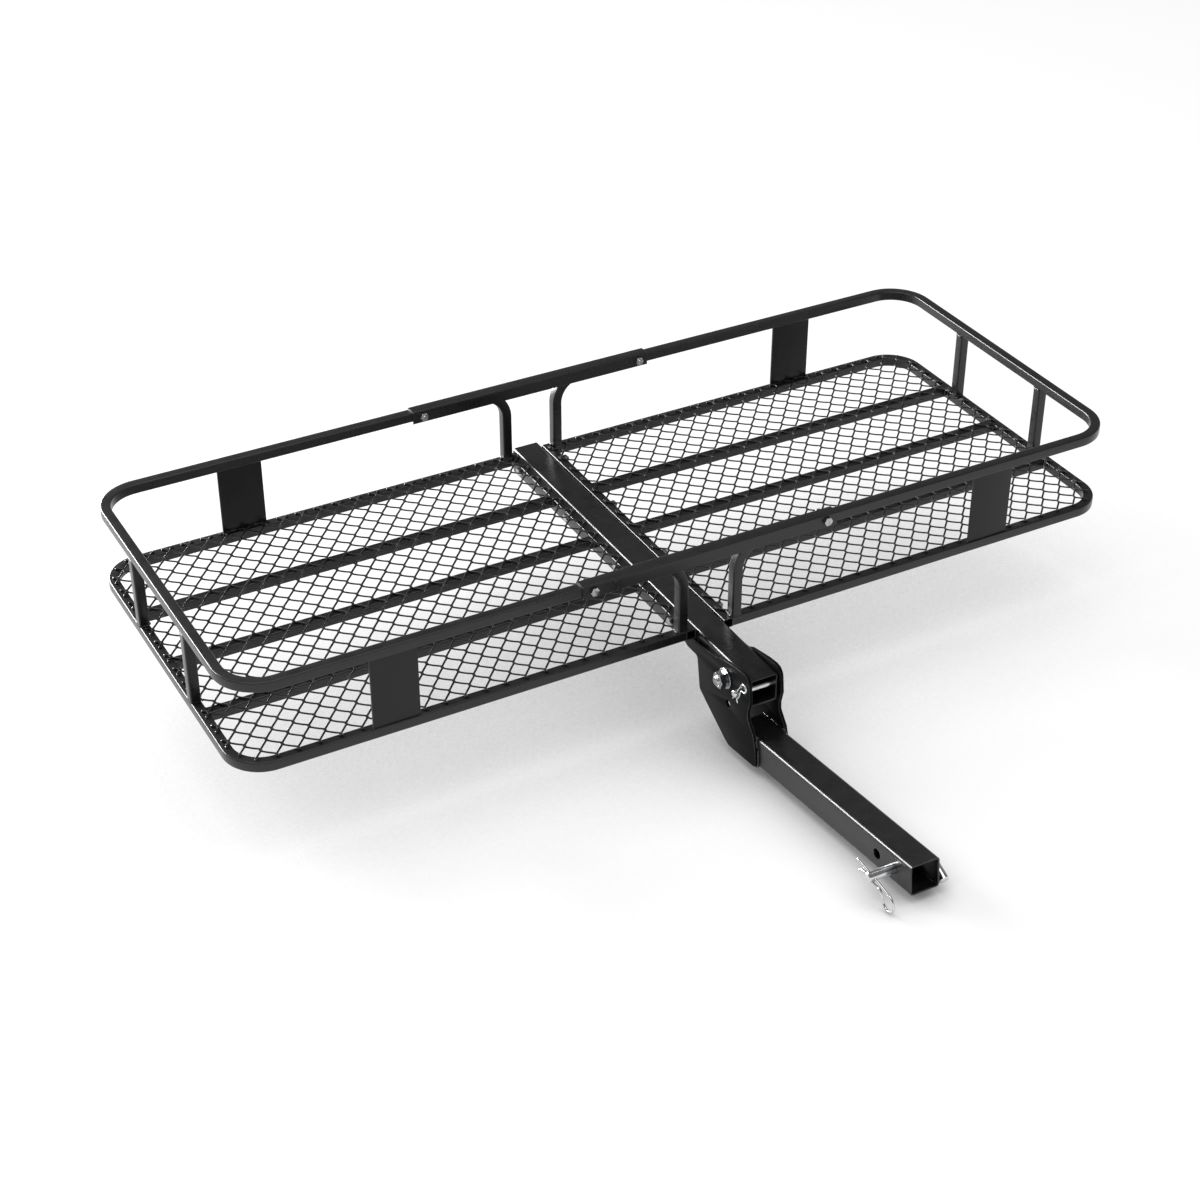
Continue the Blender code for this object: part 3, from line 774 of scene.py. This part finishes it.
def build_hitch_pin():
    handle = Vector((0, -0.87, -0.50)).normalized()
    bend = X * 0.036
    path = rounded_path([X * HITCH_PIN_LEFT, bend, bend + handle * 0.044], [0.012], 14)
    first, last = path[0], path[-1]
    ease = 0.0016
    path = ([first, (first[0] + first[1] * ease, first[1])] + path[1:-1]
            + [(last[0] - last[1] * ease, last[1]), last])
    ends = len(path) - 1

    def shape(k):
        return 0.84 if k in (0, ends) else 1.0

    bm = sweep(path, round_ring(HITCH_PIN / 2, 40), Y, shape)
    along = Vector((0, 0.975, 0.222)).normalized()
    bm = drilled(bm, [(X * HITCH_CLIP_X, along, HITCH_WIRE / 2 + 0.0005, 0.02)], 20)
    piece("receiver_pin", bm, ZINC_PIN, "hitch_pin_body", ["hitch_pin"])
    over = [(-0.0215, 0.0080), (-0.0140, 0.0086), (-0.0070, 0.0101), (0, 0.0106),
            (0.0070, 0.0100), (0.0150, 0.0078), (0.0240, 0.0098)]
    bm = spring_clip(Vector((0, 0, 0)), along, HITCH_CLIP_X, HITCH_WIRE, 0.038,
                     (-0.0425, 0.0140), 0.0135, over, (0.0350, 0.0190))
    piece("receiver_pin_clip", bm, ZINC_PIN, "hitch_clip_body", ["hitch_clip"])


# --------------------------------------------------------------- tipping side

def lock_place():
    turn = LOCK_ANGLE - LIFT
    return Vector((0, LOCK_REACH * math.cos(turn), LOCK_REACH * math.sin(turn)))


def cross_bolt_places():
    height = FLOOR_LOW + TUBE / 2
    return [Vector((0, MIDDLE + CROSS_BOLT_STEP * (k - 1.5), height)) for k in range(4)]


def build_beam():
    middle = BEAM_TOP - BEAM / 2
    bm = open_tube(Vector((0, BEAM_FRONT, middle)), Vector((0, BEAM_BACK, middle)), X,
                   BEAM / 2, BEAM / 2, BIG_CORNER, BEAM_WALL, BIG_LIP)
    holes = [(Vector((0, 0, 0)), X, PIVOT_BOLT / 2 + GAP, 0.04),
             (lock_place(), X, LOCK_PIN / 2 + 0.0005, 0.04)]
    holes += [(spot, X, SMALL_BOLT / 2 + GAP, 0.04) for spot in cross_bolt_places()]
    piece("centre_beam", drilled(bm, holes), POWDER, "basket", ["beam"], TIP)


def build_floor_frame(side, tag):
    half = TUBE / 2
    mid = FLOOR_LOW + half
    inner = side * (BAR_IN + TUBE + GAP)
    outer = side * (HALF_LENGTH - half)
    corners = [Vector((inner, FRONT + half, mid)), Vector((outer, FRONT + half, mid)),
               Vector((outer, BACK - half, mid)), Vector((inner, BACK - half, mid))]
    bend = FLOOR_BEND - half
    bm = sweep(rounded_path(corners, [bend, bend], 20), square_ring(half, half, TUBE_CORNER), Z)
    piece("floor_rim" + tag, bm, POWDER, "basket", ["bottom_rail" + tag], TIP)
    bar_x = side * BAR_MID
    bm = open_tube(Vector((bar_x, FRONT, mid)), Vector((bar_x, BACK, mid)), X, half, half,
                   TUBE_CORNER, TUBE_WALL, 0.0003)
    bm = drilled(bm, [(p + X * bar_x, X, SMALL_BOLT / 2 + GAP, 0.02)
                      for p in cross_bolt_places()])
    piece("beam_side_bar" + tag, bm, POWDER, "basket", ["inner_bar" + tag], TIP)
    beads = []
    far = side * (HALF_LENGTH - TUBE - GAP)
    for number, step in enumerate((-CROSS_STEP, 0, CROSS_STEP), 1):
        start = Vector((inner, MIDDLE + step, mid))
        end = Vector((far, MIDDLE + step, mid))
        name = "floor_bar_%d%s" % (number, tag)
        piece("floor_tube_%d%s" % (number, tag), closed_bar(start, end, Z, TUBE), POWDER,
              "basket", [name], TIP)
        for x in (inner, far):
            for edge in (-1, 1):
                y = MIDDLE + step + edge * (half + 0.0003)
                beads.append(weld(Vector((x, y, FLOOR_LOW + 0.001)),
                                  Vector((x, y, FLOOR_TOP - 0.001)), 0.0019, number + edge + x))
    for y, inward in ((FRONT, 1), (BACK, -1)):
        edge = y + inward * (TUBE + 0.0003)
        beads.append(weld(Vector((inner, edge, FLOOR_LOW + 0.001)),
                          Vector((inner, edge, FLOOR_TOP - 0.001)), 0.0020, y))
        beads.append(weld(Vector((inner, y + inward * 0.001, FLOOR_TOP + 0.0002)),
                          Vector((inner, y + inward * (TUBE - 0.001), FLOOR_TOP + 0.0002)),
                          0.0018, y + 4))
        beads.append(weld(Vector((inner, y + inward * 0.0008, FLOOR_LOW + 0.001)),
                          Vector((inner, y + inward * 0.0008, FLOOR_TOP - 0.001)), 0.0011, y + 6))
    piece("floor_weld" + tag, joined(beads), WELD_COAT, "basket", [], TIP)


def build_rail(side, tag):
    half = TUBE / 2
    foot, top = FLOOR_TOP + GAP, RAIL_MID
    inner, outer = side * POST_AT, side * (HALF_LENGTH - half)
    front, back = FRONT + half, BACK - half
    corners = [Vector((inner, front, foot)), Vector((inner, front, top)),
               Vector((outer, front, top)), Vector((outer, back, top)),
               Vector((inner, back, top)), Vector((inner, back, foot))]
    turn_down, turn_round = POST_BEND - half, RAIL_BEND - half
    path = rounded_path(corners, [turn_down, turn_round, turn_round, turn_down], 20)
    bm = sweep(path, square_ring(half, half, TUBE_CORNER), Y)
    bm = drilled(bm, [(Vector((side * RAIL_BOLT_AT, y, RAIL_MID)), Y, SMALL_BOLT / 2 + GAP, 0.02)
                      for y in (front, back)])
    piece("hoop_rail" + tag, bm, POWDER, "basket", ["top_rail" + tag], TIP)
    beads = []
    for y in (front, back):
        beads += foot_beads(Vector((inner, y, foot)), half, y)
    piece("hoop_weld" + tag, joined(beads), WELD_COAT, "basket", [], TIP)


def foot_beads(base, half, seed, up=1):
    """Weld round the four sides of a square tube standing on another."""
    beads = []
    reach = half + 0.0002
    for number, (du, dv) in enumerate(((1, 0), (-1, 0), (0, 1), (0, -1))):
        middle = base + X * du * reach + Y * dv * reach + Z * up * 0.0006
        along = (Y if du else X) * (half - 0.0012)
        radius = 0.0020
        past_side = dv * (base.y - MIDDLE) > 0
        past_end = abs(base.x) > HALF_LENGTH - 2 * TUBE and du * base.x > 0
        if past_side or past_end:
            middle -= (X * du + Y * dv) * 0.0010
            radius = 0.0012
        beads.append(weld(middle - along, middle + along, radius, seed + number))
    return beads


def build_uprights(side, tag):
    foot, head = FLOOR_TOP + GAP, RAIL_TOP - TUBE - GAP
    half = TUBE / 2
    for word, step in (("front", -END_POST_STEP), ("back", END_POST_STEP)):
        base = Vector((side * (HALF_LENGTH - half), MIDDLE + step, foot))
        top = Vector((base.x, base.y, head))
        piece("end_upright_%s%s" % (word, tag), closed_bar(base, top, X, TUBE), POWDER,
              "basket", ["end_post_%s%s" % (word, tag)], TIP)
        beads = foot_beads(base, half, step) + foot_beads(top, half, step + 2, -1)
        piece("end_weld_%s%s" % (word, tag), joined(beads), WELD_COAT, "basket", [],
              TIP)
    for word, y, inward in (("front", FRONT + 0.003, 1), ("back", BACK - 0.003, -1)):
        low, high = SIDE_PLATE_IN, SIDE_PLATE_OUT
        ring = square_ring((high - low) / 2, SIDE_PLATE_THICK / 2, 0.0008, 4)
        middle = Vector((side * (low + high) / 2, y + inward * SIDE_PLATE_THICK / 2, foot))
        bm = stack(middle, Z, X, [(0, ring), (head - foot, ring)])
        piece("side_panel_%s%s" % (word, tag), bm, PANEL_COAT, "basket",
              ["side_plate_%s%s" % (word, tag)], TIP)
        inside = y + inward * (SIDE_PLATE_THICK + 0.0004)
        beads = []
        for z in (foot + 0.0004, head - 0.0004):
            for start in (low + 0.004, high - 0.024):
                beads.append(weld(Vector((side * start, inside, z)),
                                  Vector((side * (start + 0.020), inside, z)), 0.0016, start + z))
        piece("panel_weld_%s%s" % (word, tag), joined(beads), WELD_COAT, "basket", [],
              TIP)


def on_mesh(u, v):
    """Is this point of the floor, |x| and y, under the expanded metal?"""
    inner, outer = BAR_IN + 0.004, HALF_LENGTH - MESH_LAP
    front, back = FRONT + MESH_LAP, BACK - MESH_LAP
    bend = FLOOR_BEND - MESH_LAP
    if not (inner <= u <= outer and front <= v <= back):
        return False
    for corner_v, outward in ((front + bend, -1), (back - bend, 1)):
        if u > outer - bend and (v - corner_v) * outward > 0:
            if math.hypot(u - outer + bend, v - corner_v) > bend:
                return False
    clear = TUBE / 2 + 0.002
    posts = [(POST_AT, FRONT + TUBE / 2), (POST_AT, BACK - TUBE / 2),
             (HALF_LENGTH - TUBE / 2, MIDDLE - END_POST_STEP),
             (HALF_LENGTH - TUBE / 2, MIDDLE + END_POST_STEP)]
    return not any(abs(u - pu) < clear and abs(v - pv) < clear for pu, pv in posts)


def strand_section():
    """Cross section of a strand: a flat bar with eased edges."""
    u, v, ease = STRAND_WIDE / 2, STRAND_THICK / 2, 0.0005
    return [(u, v - ease), (u - ease, v), (-u + ease, v), (-u, v - ease),
            (-u, -v + ease), (-u + ease, -v), (u - ease, -v), (u, -v + ease)]


def add_rod(verts, faces, points, ring, face_up):
    """Append a capped rod through the points, its flat side along face_up."""
    first = len(verts)
    count = len(ring)
    ahead = (points[-1] - points[0]).normalized()
    across = ahead.cross(face_up).normalized()
    up = across.cross(ahead)
    for point in points:
        for u, v in ring:
            verts.append(point + across * u + up * v)
    for k in range(len(points) - 1):
        for a in range(count):
            b = (a + 1) % count
            low, high = first + k * count, first + (k + 1) * count
            faces.append((low + a, low + b, high + b, high + a))
    faces.append(tuple(range(first, first + count)))
    last = first + (len(points) - 1) * count
    faces.append(tuple(range(last + count - 1, last - 1, -1)))


def kept_part(start, end, inside):
    """The two shares of a strand's length between which it lies inside."""
    marks = [k / 8 for k in range(9)]
    states = [inside(start.lerp(end, t)) for t in marks]
    if not any(states):
        return None
    low = states.index(True)
    high = len(states) - 1 - states[::-1].index(True)
    reach = [marks[low], marks[high]]
    for which, out in ((0, low - 1), (1, high + 1)):
        if 0 <= out <= 8:
            good, bad = reach[which], marks[out]
            for _ in range(8):
                middle = (good + bad) / 2
                if inside(start.lerp(end, middle)):
                    good = middle
                else:
                    bad = middle
            reach[which] = good
    return reach


def build_floor_mesh(side, tag):
    """Raised expanded metal: tilted bonds joined by four strands each."""
    level = FLOOR_TOP + 0.0024
    tilt = Vector((-math.sin(BOND_TILT), 0, math.cos(BOND_TILT)))
    lean = Vector((math.cos(BOND_TILT), 0, math.sin(BOND_TILT)))
    side_step = STRAND_WIDE * 0.48
    half_x, half_y = STRAND_PITCH_X / 2, STRAND_PITCH_Y / 2
    section = strand_section()
    wide = [(a * 1.92, b) for a, b in section]
    verts, faces, tacks = [], [], []

    def inside(point):
        return on_mesh(side * point.x, point.y)

    columns = round(HALF_LENGTH / half_x) + 2
    rows = round(BACK / half_y) + 2
    for i in range(-columns, columns + 1):
        for j in range(-rows, rows + 1):
            if (i + j) % 2:
                continue
            u = STRAND_AT[0] + i * half_x
            v = STRAND_AT[1] + j * half_y
            if u < 0:
                continue
            bond = Vector((side * u, v, level))
            bond.z += noise.noise(Vector((side * u * 50, v * 50, 3.0))) * 0.0004
            if inside(bond - Y * BOND_HALF) and inside(bond + Y * BOND_HALF):
                length = [bond - Y * (BOND_HALF + 0.0006), bond - Y * BOND_HALF * 0.4,
                          bond + Y * BOND_HALF * 0.4, bond + Y * (BOND_HALF + 0.0006)]
                add_rod(verts, faces, length, wide, tilt)
            for turn in (-1, 1):
                start = bond + Y * BOND_HALF + lean * side_step * turn
                far = Vector((bond.x + turn * half_x, v + STRAND_PITCH_Y / 2, level))
                end = far - Y * BOND_HALF - lean * side_step * turn
                reach = kept_part(start, end, inside)
                if not reach or reach[1] - reach[0] < 0.12:
                    continue
                bow = tilt * 0.0004 * turn
                marks = [reach[0] + (reach[1] - reach[0]) * k / 3 for k in range(4)]
                length = [start.lerp(end, t) + bow * math.sin(math.pi * t) for t in marks]
                add_rod(verts, faces, length, section, tilt)
                for mark, edge in ((reach[0], 0.0), (reach[1], 1.0)):
                    if abs(mark - edge) > 0.01:
                        tacks.append(start.lerp(end, mark))
    mesh = bpy.data.meshes.new("strands")
    mesh.from_pydata([tuple(v) for v in verts], [], faces)
    bm = bmesh.new()
    bm.from_mesh(mesh)
    bpy.data.meshes.remove(mesh)
    bmesh.ops.recalc_face_normals(bm, faces=bm.faces)
    piece("expanded_metal" + tag, bm, MESH_COAT, "basket", ["floor_mesh" + tag],
          TIP, 50)
    beads = []
    for number, spot in enumerate(tacks):
        beads.append(blob(spot - Z * 0.0012, 0.0024 + 0.0006 * noise.noise(spot * 300), 0.62,
                          number * 0.37))
    piece("mesh_tacks" + tag, joined(beads), WELD_COAT, "basket", [], TIP)


def build_sleeves():
    inside = TUBE / 2 + GAP
    outside = inside + SLEEVE_WALL
    top = RAIL_TOP + GAP + SLEEVE_WALL
    low = top - SLEEVE_DROP
    bend, inner_bend, ease = 0.0026, 0.0008, 0.0004
    shape = [(-outside + ease, low), (-outside, low + ease)]
    shape += [(-outside + bend - bend * math.cos(math.pi / 2 * k / 6),
               top - bend + bend * math.sin(math.pi / 2 * k / 6)) for k in range(7)]
    shape += [(-a, b) for a, b in reversed(shape)]
    roof = RAIL_TOP + GAP
    hollow = [(inside, low), (inside, roof - inner_bend), (inside - inner_bend, roof)]
    shape += hollow + [(-a, b) for a, b in reversed(hollow)]
    for word, y, out in (("front", FRONT + TUBE / 2, -1), ("back", BACK - TUBE / 2, 1)):
        bm = bmesh.new()
        ends = [[bm.verts.new((x, y + u, v)) for u, v in shape]
                for x in (-SLEEVE_HALF, SLEEVE_HALF)]
        bridge(bm, ends[0], ends[1])
        bm.faces.new(ends[0])
        bm.faces.new(ends[1])
        tidy(bm)
        spots = [Vector((x, y, RAIL_MID)) for x in (-RAIL_BOLT_AT, RAIL_BOLT_AT)]
        bm = drilled(bm, [(spot, Y, SMALL_BOLT / 2 + GAP, 0.02) for spot in spots])
        piece("rail_channel_" + word, bm, POWDER, "basket", ["rail_sleeve_" + word],
              TIP)
        for tag, spot in zip(("_left", "_right"), spots):
            seat = outside + GAP
            bm = small_bolt(spot + Y * out * seat, -Y * out, 2 * seat + 0.009)
            piece("channel_bolt_%s%s" % (word, tag), bm, ZINC, "basket",
                  ["rail_bolt_%s%s" % (word, tag)], TIP)
            bm = small_nut(spot - Y * out * seat, -Y * out)
            piece("channel_nut_%s%s" % (word, tag), bm, ZINC, "basket",
                  ["rail_nut_%s%s" % (word, tag)], TIP)


def build_cross_bolts():
    seat = BAR_IN + TUBE + GAP
    for number, spot in enumerate(cross_bolt_places(), 1):
        bm = small_bolt(spot - X * seat, X, 2 * seat + 0.010)
        piece("clamp_bolt_%d" % number, bm, ZINC, "basket", ["beam_bolt_%d" % number],
              TIP)
        bm = small_nut(spot + X * seat, X)
        piece("clamp_nut_%d" % number, bm, ZINC, "basket", ["beam_nut_%d" % number],
              TIP)


def build_lock_pin():
    hub = lock_place()
    radius = LOCK_PIN / 2
    seat = PLATE_OUT + 0.0055 + 0.046
    profile = [(0, radius * 0.62), (0.0007, radius - 0.0011), (0.0018, radius), (seat, radius),
               (seat, 0.0094), (seat + 0.0006, 0.010), (seat + 0.0040, 0.010),
               (seat + 0.0047, 0.0095), (seat + 0.005, 0.0085)]
    bm = turned(hub - X * 0.046, X, profile, 40)
    along = Vector((0, 0.506, -0.862)).normalized()
    bm = drilled(bm, [(hub + X * LOCK_CLIP_X, along, LOCK_WIRE / 2 + 0.0005, 0.02)], 20)
    piece("fold_lock_pin", bm, ZINC_PIN, "lock_pin_body", ["lock_pin"], TIP)
    over = [(-0.0165, 0.0052), (-0.0105, 0.0066), (-0.0050, 0.0079), (0, 0.0080),
            (0.0045, 0.0070), (0.0070, 0.0070)]
    bm = spring_clip(hub, along, LOCK_CLIP_X, LOCK_WIRE, 0.0185, (-0.0285, 0.0069), 0.0068,
                     over, (0.0105, 0.0122))
    piece("fold_lock_clip", bm, ZINC_PIN, "lock_clip_body", ["lock_clip"], TIP)


# ----------------------------------------------------------- camera and studio

def place_camera():
    azimuth, elevation = CAMERA_AZIMUTH, CAMERA_ELEVATION
    ahead = Vector((-math.sin(azimuth) * math.cos(elevation),
                    math.cos(azimuth) * math.cos(elevation), -math.sin(elevation)))
    right = Vector((math.cos(azimuth), math.sin(azimuth), 0))
    up = right.cross(ahead)
    turn = Matrix((right, up, -ahead)).transposed()
    turn = Matrix.Rotation(LIFT, 3, "X") @ turn
    data = bpy.data.cameras.new("camera")
    data.lens = CAMERA_LENS
    data.sensor_width = 36.0
    camera = bpy.data.objects.new("camera", data)
    camera.matrix_world = Matrix.Translation(CAMERA_AT) @ turn.to_4x4()
    bpy.context.scene.collection.objects.link(camera)
    bpy.context.scene.camera = camera


def soft_box(name, where, aim, width, height, power, tilt=0.0):
    """Area light at where, facing aim, turned by tilt degrees in its own plane."""
    data = bpy.data.lights.new(name, "AREA")
    data.shape = "RECTANGLE"
    data.size, data.size_y = width, height
    data.energy = power
    light = bpy.data.objects.new(name, data)
    away = (Vector(aim) - Vector(where)).normalized()
    light.matrix_world = (Matrix.Translation(where)
                          @ away.to_track_quat("-Z", "Y").to_matrix().to_4x4()
                          @ Matrix.Rotation(math.radians(tilt), 4, "Z"))
    bpy.context.scene.collection.objects.link(light)


def build_studio_floor():
    """Pale glowing floor with a painted shadow: its glow is dimmed by ambient occlusion where the
    object shelters it.
    """
    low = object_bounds()[0].z - 0.002
    bm = bmesh.new()
    bmesh.ops.create_grid(bm, x_segments=8, y_segments=8, size=20.0,
                          matrix=Matrix.Translation((0, 4.0, low)))
    mesh = bpy.data.meshes.new("studio_floor")
    bm.to_mesh(mesh)
    bm.free()
    n = Nodes("studio_floor")
    n.fix(Base_Color=(0.11, 0.11, 0.11, 1.0), Roughness=0.9, Specular_IOR_Level=0.0)
    n.fix(Emission_Color=(1.0, 1.0, 1.0, 1.0))
    # Painted shadow: ambient occlusion under the object lowers the floor's glow.
    painted_shadow_ao = n.add("ShaderNodeAmbientOcclusion", samples=16)
    painted_shadow_ao.inputs["Distance"].default_value = 0.50
    n.link(n.ramp(painted_shadow_ao.outputs["AO"], 0.30, 0.92, 0.12, 0.86),
           n.shader.inputs["Emission Strength"])
    mesh.materials.append(n.material)
    floor = bpy.data.objects.new("studio_floor", mesh)
    bpy.context.scene.collection.objects.link(floor)


def build_world():
    """Even grey light overhead, pale near the horizon."""
    world = bpy.data.worlds.new("studio")
    bpy.context.scene.world = world
    world.use_nodes = True
    tree = world.node_tree
    where = tree.nodes.new("ShaderNodeTexCoord")
    split = tree.nodes.new("ShaderNodeSeparateXYZ")
    tree.links.new(where.outputs["Generated"], split.inputs["Vector"])
    height = tree.nodes.new("ShaderNodeMapRange")
    for key, number in (("From Min", 0.16), ("From Max", 0.30), ("To Min", 1.0),
                        ("To Max", 0.20)):
        height.inputs[key].default_value = number
    tree.links.new(split.outputs["Z"], height.inputs["Value"])
    light = tree.nodes["Background"]
    light.inputs["Color"].default_value = (1.0, 1.0, 1.02, 1)
    tree.links.new(height.outputs["Result"], light.inputs["Strength"])


def build_studio():
    build_studio_floor()
    build_world()
    soft_box("overhead", (-0.3, 0.2, 4.6), (0, 0.6, 0), 4.0, 4.0, 120)
    soft_box("back_left", (-2.3, 4.9, 1.9), (-0.1, 0.5, 0.1), 4.6, 1.7, 1150, 52)
    view = bpy.context.scene.view_settings
    view.view_transform = "Standard"
    view.look = "None"
    view.exposure = 0.0
    view.gamma = 1.0


build_shank()
build_hinge_plates()
build_pivot()
build_hitch_pin()
build_beam()
for SIDE, TAG in ((-1, "_left"), (1, "_right")):
    build_floor_frame(SIDE, TAG)
    build_rail(SIDE, TAG)
    build_uprights(SIDE, TAG)
    build_floor_mesh(SIDE, TAG)
build_sleeves()
build_cross_bolts()
build_lock_pin()
place_camera()
build_studio()

bpy.context.view_layer.update()
